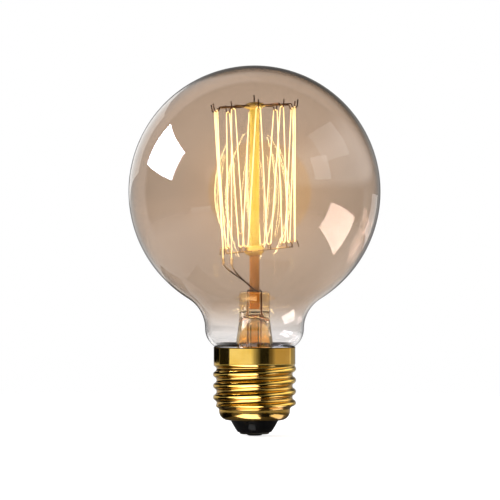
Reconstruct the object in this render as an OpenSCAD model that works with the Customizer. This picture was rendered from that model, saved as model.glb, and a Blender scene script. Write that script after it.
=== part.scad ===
// A globe lamp with a cage of carbon-style filament on an edison screw cap.
// Millimetres. The origin is the tip of the centre contact, and +Z runs up to the crown.
// Angles round the cage start at the front, -Y, and turn towards +X.

/* [Glass envelope] */
// Outside diameter of the globe
globe_d = 80; // [64:1:125]
// Thickness of the glass wall
glass_t = 0.8; // [0.5:0.1:1.2]
// Outside diameter of the neck
neck_d = 31.4; // [29:0.2:38]
// Radius of the hollow curve between globe and neck
neck_fillet = 11; // [6:0.5:18]
// Straight length of the neck above its shoulder
neck_straight = 0; // [0:0.5:12]
// Radius of the shoulder that turns the neck into the cap
shoulder_r = 6.9; // [5:0.1:9]

/* [Screw cap] */
// Height of the cap's rim above the contact tip
cap_h = 28.2; // [26:0.1:32]
// Outside diameter of the plain skirt
skirt_d = 25.9; // [25.5:0.1:26.1]
// Height of the plain skirt
skirt_h = 5.3; // [4:0.1:7]
// Thickness of the brass shell
shell_t = 0.3; // [0.25:0.05:0.5]
// Diameter over the thread crests
thread_d = 26.3; // [26.15:0.05:26.45]
// Diameter at the thread roots
root_d = 24.1; // [23.95:0.05:24.25]
// Rise of the thread in one turn
thread_pitch = 3.629; // [3.4:0.001:3.8]
// Depth of a thread crest below the rim, on the +X side
crest_drop = 10.6; // [9:0.1:12]
// Radius of the shell's curl round the insulator
curl_r = 3; // [2.4:0.1:3.4]
// Diameter of the opening that the curl leaves
curl_opening_d = 15.4; // [13:0.2:16.4]
// Height of the underside of the curl
curl_z = 4.9; // [4:0.1:6]

/* [Centre contact] */
// Diameter of the insulator's foot
foot_d = 10.4; // [10.2:0.1:12]
// Diameter of the contact plate
plate_d = 9.6; // [8:0.1:10]
// Thickness of the contact plate
plate_t = 0.6; // [0.4:0.1:0.8]
// Diameter of the solder on the centre contact
solder_d = 5.2; // [4:0.1:7]
// Height of the solder
solder_h = 0.5; // [0.3:0.1:1]
// Diameter of the flat tip of the solder
tip_d = 3.2; // [1:0.1:3.6]

/* [Stem] */
// Height of the stem's press above the cap's rim
press_above = 17.4; // [14:0.2:24]
// Width of the press
press_w = 9.6; // [8:0.1:11]
// Thickness of the press
press_t = 4.4; // [4.2:0.1:5]
// Height of the press
press_h = 9; // [6:0.5:10]
// Outside diameter of the stem tube under the press
stem_d = 9.8; // [9.6:0.1:11]
// Outside diameter of the stem tube at the cap's rim
stem_rim_d = 12; // [11:0.1:14]
// Thickness of the stem tube
stem_t = 0.9; // [0.6:0.1:1.2]
// Diameter of the rod that carries the cage
rod_d = 3.2; // [2:0.1:3.4]
// Depth that the rod is sealed into the press
rod_root = 5; // [2:0.5:5]
// Outside diameter of the exhaust tube
exhaust_d = 3; // [2.4:0.1:3.3]
// Thickness of the exhaust tube
exhaust_t = 0.5; // [0.3:0.1:0.8]
// Height of the exhaust tube's sealed tip
exhaust_tip_z = 12; // [10:0.5:18]
// Distance from the axis to each lead in the press
lead_x = 2.1; // [2.05:0.05:2.6]
// Diameter of the lead wires
lead_d = 0.5; // [0.3:0.05:0.5]

/* [Filament cage] */
// Radius of the upper ring of hooks
cage_r = 13; // [10:0.5:16]
// Radius of the lower ring of hooks
lower_r = 11.5; // [9:0.5:15]
// Sideways set of the lower ring towards +X
lower_set = 1.6; // [0:0.2:2.4]
// Height of the upper ring of hooks above the globe's centre
upper_above = 27.2; // [20:0.2:29]
// Depth of the lower ring of hooks below the globe's centre
lower_below = 18.8; // [12:0.2:20]
// Lean of the upper ring towards +X
upper_lean = 3; // [0:0.5:5]
// Lean of the lower ring towards +X
lower_lean = 6; // [0:0.5:7]
// Angle of the first upper hook from the front
first_hook = 5; // [0:1:17]
// Diameter of the upper button
upper_button_d = 6.6; // [5.6:0.1:8]
// Height of the upper button
upper_button_h = 2.6; // [2:0.1:3.5]
// Diameter of the lower button
lower_button_d = 6.4; // [5.6:0.1:8]
// Height of the lower button
lower_button_h = 3.8; // [2.6:0.1:5]
// Diameter of the hook wire
hook_d = 0.4; // [0.25:0.05:0.5]
// Width of a hook's bend
hook_w = 1.8; // [1.5:0.1:2.6]
// Depth of an upper hook
upper_hook_h = 1.4; // [1.4:0.1:2.4]
// Height of a lower hook
lower_hook_h = 2; // [1.4:0.1:2.4]
// Diameter of the filament
filament_d = 0.46; // [0.3:0.02:0.6]
// Radius of the filament's bends
bend_r = 0.7; // [0.6:0.05:1]
// Height of the filament's two ends above the press
ends_above = 8.8; // [8:0.1:9.4]
// Length of the wire that stands on the upper button
top_wire_l = 2.2; // [1:0.1:4]

/* [Hidden] */

$fn = 64;
eps = 0.01;
arc_steps = 12;

// Envelope
globe_r = globe_d / 2;
neck_r = neck_d / 2;
skirt_r = skirt_d / 2;
rim_gap = 0.45;
rim_glass_r = skirt_r - shell_t - rim_gap;
rim_glass_z = cap_h - 0.2;
shoulder_in = shoulder_r - (neck_r - rim_glass_r);
shoulder_z = rim_glass_z + sqrt(pow(shoulder_r, 2) - pow(shoulder_in, 2));
fillet_z = shoulder_z + neck_straight;
globe_z = fillet_z + sqrt(pow(globe_r + neck_fillet, 2) - pow(neck_r + neck_fillet, 2));
fillet_angle = acos((neck_r + neck_fillet) / (globe_r + neck_fillet));

// Cap
thread_top = cap_h - skirt_h;
thread_depth = (thread_d - root_d) / 2;
knuckle_r = (pow(thread_pitch / 4, 2) + pow(thread_depth / 2, 2)) / thread_depth;
curl_x = curl_opening_d / 2 + 0.6;
curl_top = curl_z + curl_r;
thread_bottom = curl_top + 0.45;
thread_fade = 1.6;
thread_seat = 0.3;
first_crest = cap_h - crest_drop;
thread_sides = 36;
rows_per_turn = 10;

// Seal of the neck and the stem, inside the cap
seal_r = root_d / 2 - shell_t - 1;
seal_z = thread_top - 2.5;
seal_t = 1;
seal_bend_z = thread_top + 0.5;
seal_bend_r = seal_r + 0.25;
cement_z = seal_bend_z;

// Side lead, led up between the neck and the shell to a hole at the back of the skirt
side_low = [0, (seal_r + root_d / 2 - shell_t) / 2, seal_z - seal_t - 1.2];
side_in = [0, seal_bend_r + 0.42, seal_bend_z - 0.2];
side_up = [0, rim_glass_r - 0.15, cap_h - 2.2];
side_out = [0, skirt_r, cap_h - 1.6];

// Stem
press_top = cap_h + press_above;
press_z = press_top - press_h;
press_lap = 0.4;
lead_r = lead_d / 2;
rod_r = rod_d / 2;
rod_fit = 0.02;

// Contact
plate_top = solder_h + plate_t;
insulator_top = curl_top;
insulator_bore = 1;

// Cage
upper_z = globe_z + upper_above;
lower_z = globe_z - lower_below;
hook_r = hook_d / 2;
hook_bend = 0.5;
hook_root = 0.45;
slot = 8;
ends_z = press_top + ends_above;
end_spread = 10;
clamp_l = 2;
clamp_r = 0.45;
filament_r = filament_d / 2;
bend_turn = 84;
bend_steps = 3;
wire_sides = 6;
upper_angles = [for (i = [0:9]) first_hook + 36 * i];
lower_angles = [for (i = [0:9]) first_hook + 18 + 36 * i];
end_angle = lower_angles[slot];

// Points of an arc in a plane, from angle a to angle b
function arc(x, z, r, a, b, n = arc_steps) = [for (i = [0:n]) let (t = a + (b - a) * i / n)
    [x + r * cos(t), z + r * sin(t)]];

function reversed(list) = [for (i = [len(list) - 1:-1:0]) list[i]];

function smooth(t) = let (c = max(0, min(1, t))) c * c * (3 - 2 * c);

function mix(a, b, t) = a + (b - a) * t;

function unit(v) = v / norm(v);

// Point on a cubic curve with four control points
function cubic(p, t) = pow(1 - t, 3) * p[0] + 3 * t * pow(1 - t, 2) * p[1]
    + 3 * t * t * (1 - t) * p[2] + pow(t, 3) * p[3];

function cubic_path(p, n) = [for (i = [0:n]) cubic(p, i / n)];

// One path through several cubic curves, each of which starts where the last one ends
function joined_path(curves, n) = concat([curves[0][0]],
    [for (p = curves, i = [1:n]) cubic(p, i / n)]);

// Direction of a path at its point i
function heading(path, i) = unit(path[min(i + 1, len(path) - 1)] - path[max(i - 1, 0)]);

// Point beside a wire's centreline: refs gives a direction across the wire at each point
function ring_point(path, refs, r, i, a) = let (
    across = unit(cross(heading(path, i), refs[i])),
    other = cross(heading(path, i), across)
) path[i] + r * (across * cos(a) + other * sin(a));

// Round wire along a path
module wire(path, refs, r, sides = wire_sides) {
    n = len(path);
    points = [for (i = [0:n - 1], k = [0:sides - 1]) ring_point(path, refs, r, i, 360 * k / sides)];
    walls = [for (i = [0:n - 2], k = [0:sides - 1]) let (
        a = i * sides + k,
        b = i * sides + (k + 1) % sides
    ) each [[a, b + sides, b], [a, a + sides, b + sides]]];
    start = [for (k = [1:sides - 2]) [0, k, k + 1]];
    last = (n - 1) * sides;
    end = [for (k = [1:sides - 2]) [last, last + k + 1, last + k]];
    polyhedron(points, concat(walls, start, end));
}

// Round bar between two points
module bar(p, q, r) {
    d = q - p;
    translate(p)
        rotate([0, acos(d[2] / norm(d)), atan2(d[1], d[0])])
            cylinder(h = norm(d), r = r, $fn = 24);
}

// Outline of the envelope's skin, from crown to seal, moved inwards by d
function skin(d) = concat(
    arc(0, globe_z, globe_r - d, 90, -fillet_angle, 44),
    arc(neck_r + neck_fillet, fillet_z, neck_fillet + d, 180 - fillet_angle, 180),
    arc(neck_r - shoulder_r, shoulder_z, shoulder_r - d, 0, -acos(shoulder_in / shoulder_r)),
    [[seal_bend_r - d, seal_bend_z], [seal_r - d, seal_z]]
);

module glass_envelope() {
    color([0.85, 0.72, 0.6, 0.35])
        rotate_extrude()
            polygon(concat(skin(0), reversed(skin(glass_t))));
}

// Centreline of the flared tube, from its rim up to the press
function flare_line() = concat(
    cubic_path([
        [seal_r - stem_t / 2, seal_z - seal_t / 2],
        [seal_r * 0.62, seal_z - seal_t / 2],
        [stem_rim_d / 2, seal_z + 2.5],
        [stem_rim_d / 2 - stem_t / 2, cap_h]
    ], arc_steps),
    [[stem_d / 2 - stem_t / 2, press_z + press_lap]]
);

function beside(line, i, d) = let (
    h = heading(line, i)
) line[i] + d * [h[1], -h[0]];

function flare_side(d) = [for (i = [0:len(flare_line()) - 1]) i == len(flare_line()) - 1
    ? flare_line()[i] + [d, 0]
    : beside(flare_line(), i, d)];

// The flare's rim takes the end of the neck on its flat top
module flare_tube() {
    rotate_extrude() {
        polygon(concat(flare_side(stem_t / 2), reversed(flare_side(-stem_t / 2))));
        translate([seal_r - seal_t * 1.2, seal_z - seal_t])
            square([seal_t * 1.2, seal_t]);
    }
}

// A slice of the press with rounded ends
module press_slice(w, t, z) {
    for (side = [-1, 1])
        translate([side * (w - t) / 2, 0, z])
            cylinder(h = eps, r = t / 2, $fn = 32);
}

module press_block() {
    hull() {
        translate([0, 0, press_z])
            cylinder(h = press_lap, r = stem_d / 2 - 0.02, $fn = 32);
        press_slice(press_w, press_t + 0.5, press_z + press_h * 0.4);
    }
    hull() {
        press_slice(press_w, press_t + 0.5, press_z + press_h * 0.4);
        press_slice(press_w, press_t, press_top - 0.5);
        press_slice(press_w - 0.8, press_t - 0.8, press_top - eps);
    }
}

module stem_flare() {
    color([0.9, 0.8, 0.66, 0.5])
        difference() {
            union() {
                flare_tube();
                press_block();
            }
            for (side = [-1, 1])
                translate([side * lead_x, 0, press_z - 1])
                    cylinder(h = press_h + 2, r = lead_r, $fn = 24);
            translate([0, 0, press_top - rod_root])
                cylinder(h = rod_root + 1, r = rod_r + rod_fit, $fn = 32);
        }
}

module exhaust_tube() {
    r = exhaust_d / 2;
    color([0.9, 0.86, 0.78, 0.6])
        rotate_extrude()
            polygon(concat(
                [[0, exhaust_tip_z]],
                arc(0, exhaust_tip_z + r, r, -75, 0, 6),
                [[r, press_z], [r - exhaust_t, press_z]],
                arc(0, exhaust_tip_z + r + exhaust_t, r - exhaust_t, 0, -75, 6),
                [[0, exhaust_tip_z + 2 * exhaust_t]]
            ));
}

module rod() {
    translate([0, 0, press_top - rod_root])
        cylinder(h = upper_z - press_top + rod_root, r = rod_r);
}

module arbor_rod() {
    color([0.8, 0.5, 0.25, 0.8])
        rod();
}

// Puts a child on a ring of hooks, leaning with it, at an angle round the axis
module on_ring(z, lean, a = 0) {
    translate([0, 0, z])
        rotate([0, -lean, 0])
            rotate([0, 0, a])
                children();
}

// Round bead of glass with a short flat band round its middle
module bead(d, h) {
    rotate_extrude()
        polygon(concat(
            [[0, -h / 2]],
            [for (a = [-78:12:-6]) [d / 2 * cos(a), h / 2 * sin(a)]],
            [for (a = [6:12:78]) [d / 2 * cos(a), h / 2 * sin(a)]],
            [[0, h / 2]]
        ));
}

module hook_bores(d, angles, skip = -1) {
    for (i = [0:len(angles) - 1])
        if (i != skip)
            rotate([0, 0, angles[i]])
                rotate([90, 0, 0])
                    translate([0, 0, rod_r + hook_root])
                        cylinder(h = d, r = hook_r, $fn = 24);
}

module upper_button() {
    color([0.9, 0.65, 0.25, 0.9])
        difference() {
            on_ring(upper_z, upper_lean)
                difference() {
                    bead(upper_button_d, upper_button_h);
                    hook_bores(upper_button_d, upper_angles);
                    translate([0, 0, upper_button_h / 2 - 0.6])
                        cylinder(h = 1, r = hook_r, $fn = 24);
                }
            rod();
        }
}

module lower_button() {
    color([0.95, 0.75, 0.3, 0.9])
        difference() {
            on_ring(lower_z, lower_lean)
                difference() {
                    bead(lower_button_d, lower_button_h);
                    hook_bores(lower_button_d, lower_angles, slot);
                }
            rod();
        }
}

module top_wire() {
    color("saddlebrown")
        on_ring(upper_z, upper_lean)
            translate([0, 0, upper_button_h / 2 - 0.6])
                cylinder(h = top_wire_l + 0.6, r = hook_r, $fn = 24);
}

// How far a lower hook at angle a reaches from the axis
function lower_reach(a) = lower_r + lower_set * sin(a);

// A hook's centreline: out from the button, then down h, round and up again to its tip
function hook_line(reach, h, tip) = let (w = hook_w / 2, up = h - w) concat(
    [[rod_r + hook_root, 0]],
    arc(reach - w - hook_bend, -hook_bend, hook_bend, 90, 0, 4),
    arc(reach, -up, w, 180, 360, 8),
    [[reach + w + 0.25, tip]]
);

module hook(reach, h, tip, flip) {
    path = [for (p = hook_line(reach, h, tip)) [0, -p[0], flip * p[1]]];
    wire(path, [for (p = path) [1, 0, 0]], hook_r);
}

module upper_hook(i) {
    color([0.3, 0.16, 0.1])
        on_ring(upper_z, upper_lean, upper_angles[i])
            hook(cage_r, upper_hook_h, 1.2, 1);
}

module lower_hook(i) {
    color([0.3, 0.16, 0.1])
        on_ring(lower_z, lower_lean, lower_angles[i])
            hook(lower_reach(lower_angles[i]), lower_hook_h, 0.2, -1);
}

// Where a point of a leaning ring lies: out from the axis, round it and above the ring
function ring_at(z, lean, out, a, h) = let (x = out * sin(a)) [
    x * cos(lean) - h * sin(lean),
    -out * cos(a),
    z + x * sin(lean) + h * cos(lean)
];

// The filament's bend over a hook, side 1 at the upper ring and -1 at the lower one
function bend(top, a, side) = [for (i = [-bend_steps:bend_steps]) let (t = bend_turn * i / bend_steps)
    top + bend_r * [cos(a) * sin(t), sin(a) * sin(t), side * (cos(t) - 1)]];

function upper_bend(i) = bend(ring_at(upper_z, upper_lean, cage_r, upper_angles[i],
    hook_r + filament_r - upper_hook_h), upper_angles[i], 1);

function lower_bend(i) = let (a = lower_angles[i]) bend(ring_at(lower_z, lower_lean, lower_reach(a), a,
    lower_hook_h - hook_r - filament_r), a, -1);

function end_point(side, z) = let (a = end_angle + side * end_spread)
    [lower_r * sin(a), -lower_r * cos(a), z];

// One strand, from the right-hand lead up over ten hooks and under nine to the other lead
function filament_path() = concat(
    [end_point(1, ends_z + 0.4)],
    [for (i = [0:9]) each concat(
        upper_bend((slot + 1 + i) % 10),
        i == 9 ? [] : lower_bend((slot + 1 + i) % 10)
    )],
    [end_point(-1, ends_z + 0.4)]
);

module filament() {
    path = filament_path();
    color([1, 0.85, 0.5])
        wire(path, [for (p = path) unit([p[0], p[1], 0])], filament_r);
}

// A lead from the press to the crimp that grips one end of the filament
module lead_wire(curves, foot) {
    path = concat(joined_path(curves, 7), [foot + [0, 0, 0.3]]);
    color([0.35, 0.25, 0.2]) {
        wire(path, [for (p = path) [1, 1, 1]], lead_r, 8);
        translate(foot)
            difference() {
                cylinder(h = clamp_l, r = clamp_r, $fn = 24);
                translate([0, 0, 0.4])
                    cylinder(h = clamp_l, r = filament_r, $fn = 24);
            }
    }
}

// The left lead crosses the press's front edge and turns back to the end that is in front
module lead_wire_left() {
    foot = end_point(1, ends_z);
    lead_wire([
        [
            [-lead_x, 0, press_top], [-lead_x, 0, press_top + 0.9],
            [-1.8, -2.6, press_top + 0.4], [-0.2, -2.8, press_top + 0.45]
        ],
        [
            [-0.2, -2.8, press_top + 0.45], [2, -3.1, press_top + 0.5],
            [1.7, -4.2, press_top - 0.6], [-0.6, -4.6, press_top + 1.2]
        ],
        [
            [-0.6, -4.6, press_top + 1.2], [-3.2, -5.1, press_top + 3.5],
            [-6.6, -8, press_top + 6.4], foot
        ]
    ], foot);
}

// The right lead passes behind the rod to the end that is further back
module lead_wire_right() {
    foot = end_point(-1, ends_z);
    lead_wire([
        [
            [lead_x, 0, press_top], [lead_x, 0, press_top + 0.9],
            [1.8, 2.9, press_top + 0.1], [0, 3, press_top + 0.7]
        ],
        [
            [0, 3, press_top + 0.7], [-2.8, 3.2, press_top + 3.6],
            [-8.6, -2.6, press_top + 6.6], foot
        ]
    ], foot);
}

module lead_seal(side) {
    color([0.6, 0.3, 0.2])
        translate([side * lead_x, 0, press_z])
            cylinder(h = press_h, r = lead_r, $fn = 24);
}

// Straight down beside the exhaust tube, then under its tip to the axis and through the contact
module cap_lead_centre() {
    bend = cubic_path([[-lead_x, 0, exhaust_tip_z + 0.5], [-lead_x, 0, exhaust_tip_z - 2.4],
        [0, 0, insulator_top + 2.4], [0, 0, insulator_top]], 12);
    path = concat([[-lead_x, 0, press_z]], bend, [[0, 0, solder_h]]);
    color([0.75, 0.45, 0.3])
        wire(path, [for (p = path) [0, 1, 0]], lead_r, 8);
}

module cap_lead_side() {
    down = cubic_path([[lead_x, 0, press_z], [lead_x, 0, seal_z - 4],
        [0, 4, seal_z - 5], side_low], 14);
    path = concat(down, [side_in, side_up, side_out]);
    color([0.75, 0.45, 0.3])
        wire(path, [for (p = path) [1, 0.3, 0]], hook_r);
}

module basing_cement() {
    color([0.75, 0.7, 0.62])
        difference() {
            rotate_extrude()
                polygon([
                    [seal_bend_r, cement_z],
                    [skirt_r - shell_t, cement_z],
                    [skirt_r - shell_t, rim_glass_z],
                    [rim_glass_r, rim_glass_z]
                ]);
            bar(side_in, side_up, hook_r + 0.05);
            bar(side_up, side_out, hook_r + 0.05);
        }
}

// How deep the thread lies below its crests, u turns above a crest
function knuckle(u) = let (x = min(u, 1 - u) * thread_pitch, q = thread_pitch / 4)
    x <= q
    ? knuckle_r - sqrt(pow(knuckle_r, 2) - x * x)
    : thread_depth - knuckle_r + sqrt(pow(knuckle_r, 2) - pow(2 * q - x, 2));

function thread_radius(a, z) = let (u = (z - first_crest) / thread_pitch - a / 360)
    thread_d / 2 - knuckle(u - floor(u));

// How far the thread has run out towards the skirt or the curl, 1 where it is full
function thread_share(z) = smooth((thread_top - z) / thread_fade) * smooth((z - thread_bottom) / thread_fade);

// The plain radius that the thread runs out into, part way through the shell's wall
function plain_radius(z, share) = (z > (thread_top + thread_bottom) / 2 ? skirt_r : curl_x + curl_r) - shell_t * share;

function thread_wall(a, z, inner) = mix(
    plain_radius(z, inner ? 0.7 : 0.3),
    thread_radius(a, z) - (inner ? shell_t : 0),
    thread_share(z)
);

// Heights of the thread's rows: the outer two lie inside the skirt's and the curl's walls
row_top = thread_top - thread_seat / 3;
row_bottom = thread_bottom + thread_seat / 3;
thread_rows = floor((row_top - row_bottom) / thread_pitch * rows_per_turn);
thread_z = concat(
    [thread_top + thread_seat],
    [for (i = [0:thread_rows]) mix(row_top, row_bottom, i / thread_rows)],
    [thread_bottom - thread_seat]
);

// The rolled thread, a thin wall whose ends lie inside the skirt's and the curl's walls
module rolled_thread() {
    rows = len(thread_z);
    loop = 2 * rows;
    points = [for (j = [0:thread_sides - 1], k = [0:loop - 1]) let (
        a = 360 * j / thread_sides,
        z = thread_z[k < rows ? k : loop - 1 - k],
        r = thread_wall(a, z, k >= rows)
    ) [r * cos(a), r * sin(a), z]];
    faces = [for (j = [0:thread_sides - 1], k = [0:loop - 1]) let (
        a = j * loop,
        b = (j + 1) % thread_sides * loop,
        m = (k + 1) % loop
    ) each [[a + k, b + m, a + m], [a + k, b + k, b + m]]];
    polyhedron(points, faces);
}

module skirt_ring() {
    rotate_extrude($fn = 96)
        polygon([
            [skirt_r - shell_t, thread_top],
            [skirt_r - 0.05, thread_top],
            [skirt_r, thread_top + 0.2],
            [skirt_r, cap_h],
            [skirt_r - shell_t, cap_h]
        ]);
}

module curl_ring() {
    rotate_extrude($fn = 96)
        polygon(concat(
            [[curl_x + curl_r, thread_bottom]],
            arc(curl_x, curl_top, curl_r, 0, -90),
            [[curl_opening_d / 2, curl_z], [curl_opening_d / 2, curl_z + shell_t]],
            arc(curl_x, curl_top, curl_r - shell_t, -90, 0),
            [[curl_x + curl_r - shell_t, thread_bottom]]
        ));
}

module cap_shell() {
    color([0.85, 0.65, 0.25])
        difference() {
            union() {
                skirt_ring();
                rolled_thread();
                curl_ring();
            }
            bar(side_up, side_out + (side_out - side_up), hook_r + 0.05);
        }
}

module cap_insulator() {
    color([0.06, 0.06, 0.06])
        rotate_extrude($fn = 96)
            polygon(concat(
                [[insulator_bore, plate_top], [insulator_bore, insulator_top]],
                arc(curl_x, curl_top, curl_r - shell_t, 0, -90),
                [
                    [curl_opening_d / 2, curl_z + shell_t],
                    [curl_opening_d / 2, curl_z],
                    [curl_opening_d / 2 - 0.25, curl_z - 0.3],
                    [mix(foot_d, curl_opening_d, 0.64) / 2, mix(plate_top, curl_z, 0.6)],
                    [mix(foot_d, curl_opening_d, 0.36) / 2, mix(plate_top, curl_z, 0.3)],
                    [mix(foot_d, curl_opening_d, 0.1) / 2, mix(plate_top, curl_z, 0.05)],
                    [foot_d / 2, plate_top]
                ]
            ));
}

module contact_plate() {
    color([0.8, 0.7, 0.45])
        rotate_extrude()
            polygon([
                [lead_r, solder_h],
                [plate_d / 2 - plate_t, solder_h],
                [plate_d / 2 - plate_t * 0.3, solder_h + plate_t * 0.4],
                [plate_d / 2, plate_top],
                [lead_r, plate_top]
            ]);
}

module centre_solder() {
    color([0.7, 0.7, 0.7])
        rotate_extrude()
            polygon([
                [0, 0],
                [tip_d / 2, 0],
                [mix(tip_d, solder_d, 0.6) / 2, solder_h * 0.3],
                [solder_d / 2, solder_h],
                [0, solder_h]
            ]);
}

// Solder wiped flat over the end of the side lead
module side_solder() {
    color([0.7, 0.7, 0.7])
        intersection() {
            rotate_extrude($fn = 96)
                translate([skirt_r, cap_h - 4])
                    square([0.2, 4]);
            translate([0, 0, side_out[2]])
                rotate([-90, 0, 0])
                    cylinder(h = skirt_r * 2, r = 1.3);
        }
}

glass_envelope();
stem_flare();
exhaust_tube();
arbor_rod();
upper_button();
lower_button();
top_wire();
upper_hook(0);  // upper_hook_01
upper_hook(1);  // upper_hook_02
upper_hook(2);  // upper_hook_03
upper_hook(3);  // upper_hook_04
upper_hook(4);  // upper_hook_05
upper_hook(5);  // upper_hook_06
upper_hook(6);  // upper_hook_07
upper_hook(7);  // upper_hook_08
upper_hook(8);  // upper_hook_09
upper_hook(9);  // upper_hook_10
lower_hook(0);  // lower_hook_01
lower_hook(1);  // lower_hook_02
lower_hook(2);  // lower_hook_03
lower_hook(3);  // lower_hook_04
lower_hook(4);  // lower_hook_05
lower_hook(5);  // lower_hook_06
lower_hook(6);  // lower_hook_07
lower_hook(7);  // lower_hook_08
lower_hook(9);  // lower_hook_09
filament();
lead_wire_left();
lead_wire_right();
lead_seal(-1);  // lead_seal_left
lead_seal(1);  // lead_seal_right
cap_lead_side();
cap_lead_centre();
basing_cement();
cap_shell();
cap_insulator();
contact_plate();
centre_solder();
side_solder();
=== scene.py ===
"""Looks of a globe lamp with a squirrel-cage filament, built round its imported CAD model."""
import math

import bmesh
import bpy
from mathutils import Matrix, Vector


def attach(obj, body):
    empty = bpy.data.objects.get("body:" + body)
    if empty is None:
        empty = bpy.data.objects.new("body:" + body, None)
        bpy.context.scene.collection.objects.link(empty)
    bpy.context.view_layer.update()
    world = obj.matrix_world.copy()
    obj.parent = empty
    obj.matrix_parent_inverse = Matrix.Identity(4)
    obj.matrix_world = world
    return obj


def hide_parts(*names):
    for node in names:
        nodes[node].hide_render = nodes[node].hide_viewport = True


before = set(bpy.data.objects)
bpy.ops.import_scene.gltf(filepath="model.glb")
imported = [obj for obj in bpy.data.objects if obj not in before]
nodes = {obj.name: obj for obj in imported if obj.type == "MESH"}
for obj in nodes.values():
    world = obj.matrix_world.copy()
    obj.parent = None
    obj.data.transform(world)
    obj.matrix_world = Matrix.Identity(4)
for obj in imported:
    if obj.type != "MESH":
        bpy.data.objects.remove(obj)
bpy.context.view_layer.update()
scene = bpy.context.scene
MM = 0.001
WHITE = (1, 1, 1)
BLACK = (0, 0, 0)

# Sizes in millimetres and angles in degrees, after the CAD source. GLOBE_R is a hair smaller than
# the CAD's own radius, so that the rounder globe stays inside the CAD's box.
CAD_GLOBE_R = 40
GLOBE_R = 39.98
GLASS_T = 0.8
NECK_R = 15.7
FILLET_R = 11.0
SHOULDER_R = 6.9
CAP_H = 28.2
SKIRT_R = 12.95
SKIRT_H = 5.3
SHELL_T = 0.3
CREST_R = 13.15
ROOT_R = 12.05
PITCH = 3.629
FIRST_CREST = CAP_H - 10.6
CURL_R = 3.0
CURL_OPENING_R = 7.7
CURL_Z = 4.9
FOOT_R = 5.2
PLATE_R = 4.8
PLATE_T = 0.6
SOLDER_R = 2.6
SOLDER_H = 0.5
TIP_R = 1.6
PRESS_TOP = CAP_H + 17.4
PRESS_Z = PRESS_TOP - 9.0
PRESS_W = 9.6
PRESS_T = 4.4
PRESS_SWELL = 0.25
PRESS_SHOULDER = 3.8
PRESS_EDGE_H = 0.8
PRESS_EDGE_R = 0.4
STEM_R = 4.9
STEM_RIM_R = 6.0
STEM_T = 0.9
STEM_SIDES = 64
ROD_R = 1.6
ROD_ROOT = 5.0
ROD_GAP = 0.02
EXHAUST_R = 1.5
EXHAUST_T = 0.5
EXHAUST_TIP = 12.0
LEAD_X = 2.1
LEAD_R = 0.25
CRIMP_R = 0.45
CRIMP_H = 2.0
CRIMP_GRIP = 0.4
CURVE_STEPS = 14
UPPER_BUTTON_D = 6.6
UPPER_BUTTON_H = 2.6
LOWER_BUTTON_D = 6.4
LOWER_BUTTON_H = 3.8
CAGE_R = 13.0
LOWER_R = 11.5
LOWER_SET = 1.6
UPPER_LEAN = 3
LOWER_LEAN = 6
HOOKS = 10
HOOK_STEP = 360 / HOOKS
FIRST_HOOK = 5
HOOK_ROOT = 0.45
HOOK_R = 0.2
HOOK_W = 1.8
HOOK_BEND_R = 0.5
HOOK_TIP_OUT = 0.25
UPPER_HOOK_H = 1.4
UPPER_TIP_H = 1.2
LOWER_HOOK_H = 2.0
LOWER_TIP_H = 0.2
FILAMENT_R = 0.17
BEND_R = 0.7
BEND_TURN = 84
SLOT = 8
SLOT_ENDS = 10

RIM_GAP = 0.45
RIM_GLASS_R = SKIRT_R - SHELL_T - RIM_GAP
RIM_GLASS_Z = CAP_H - 0.2
SHOULDER_IN = SHOULDER_R - (NECK_R - RIM_GLASS_R)
SHOULDER_Z = RIM_GLASS_Z + math.sqrt(SHOULDER_R ** 2 - SHOULDER_IN ** 2)
GLOBE_Z = SHOULDER_Z + math.sqrt((CAD_GLOBE_R + FILLET_R) ** 2 - (NECK_R + FILLET_R) ** 2)
THREAD_TOP = CAP_H - SKIRT_H
THREAD_DEPTH = CREST_R - ROOT_R
KNUCKLE_R = ((PITCH / 4) ** 2 + (THREAD_DEPTH / 2) ** 2) / THREAD_DEPTH
CURL_X = CURL_OPENING_R + 0.6
CURL_TOP = CURL_Z + CURL_R
THREAD_BOTTOM = CURL_TOP + 0.45
THREAD_FADE = 1.6
SEAL_R = ROOT_R - SHELL_T - 1
SEAL_Z = THREAD_TOP - 2.5
SEAL_BEND_R = SEAL_R + 0.25
SEAL_BEND_Z = THREAD_TOP + 0.5
UPPER_Z = GLOBE_Z + 27.2
LOWER_Z = GLOBE_Z - 18.8
CAGE_MIDDLE = (UPPER_Z + LOWER_Z) / 2
ENDS_Z = PRESS_TOP + 8.8
PLATE_TOP = SOLDER_H + PLATE_T
ON_AXIS = 1e-6


# Mesh helpers

def lerp(a, b, t):
    return a + (b - a) * t


def smooth(t):
    t = max(0.0, min(1.0, t))
    return t * t * (3 - 2 * t)


def arc(x, z, r, start, end, steps):
    """Points (r, z) of an arc, angles in degrees from +X."""
    turn = [math.radians(lerp(start, end, i / steps)) for i in range(steps + 1)]
    return [(x + r * math.cos(t), z + r * math.sin(t)) for t in turn]


def mesh_piece(name, points, faces, material, slot, replaced):
    """A piece of the lamp from points in millimetres, riding on the body."""
    mesh = bpy.data.meshes.new(name)
    mesh.from_pydata([Vector(p) * MM for p in points], [], faces)
    mesh.validate()
    work = bmesh.new()
    work.from_mesh(mesh)
    bmesh.ops.recalc_face_normals(work, faces=work.faces)
    work.to_mesh(mesh)
    work.free()
    mesh.shade_smooth()
    piece = bpy.data.objects.new(name, mesh)
    scene.collection.objects.link(piece)
    mesh.materials.append(material)
    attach(piece, "root")
    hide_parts(*replaced)


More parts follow.
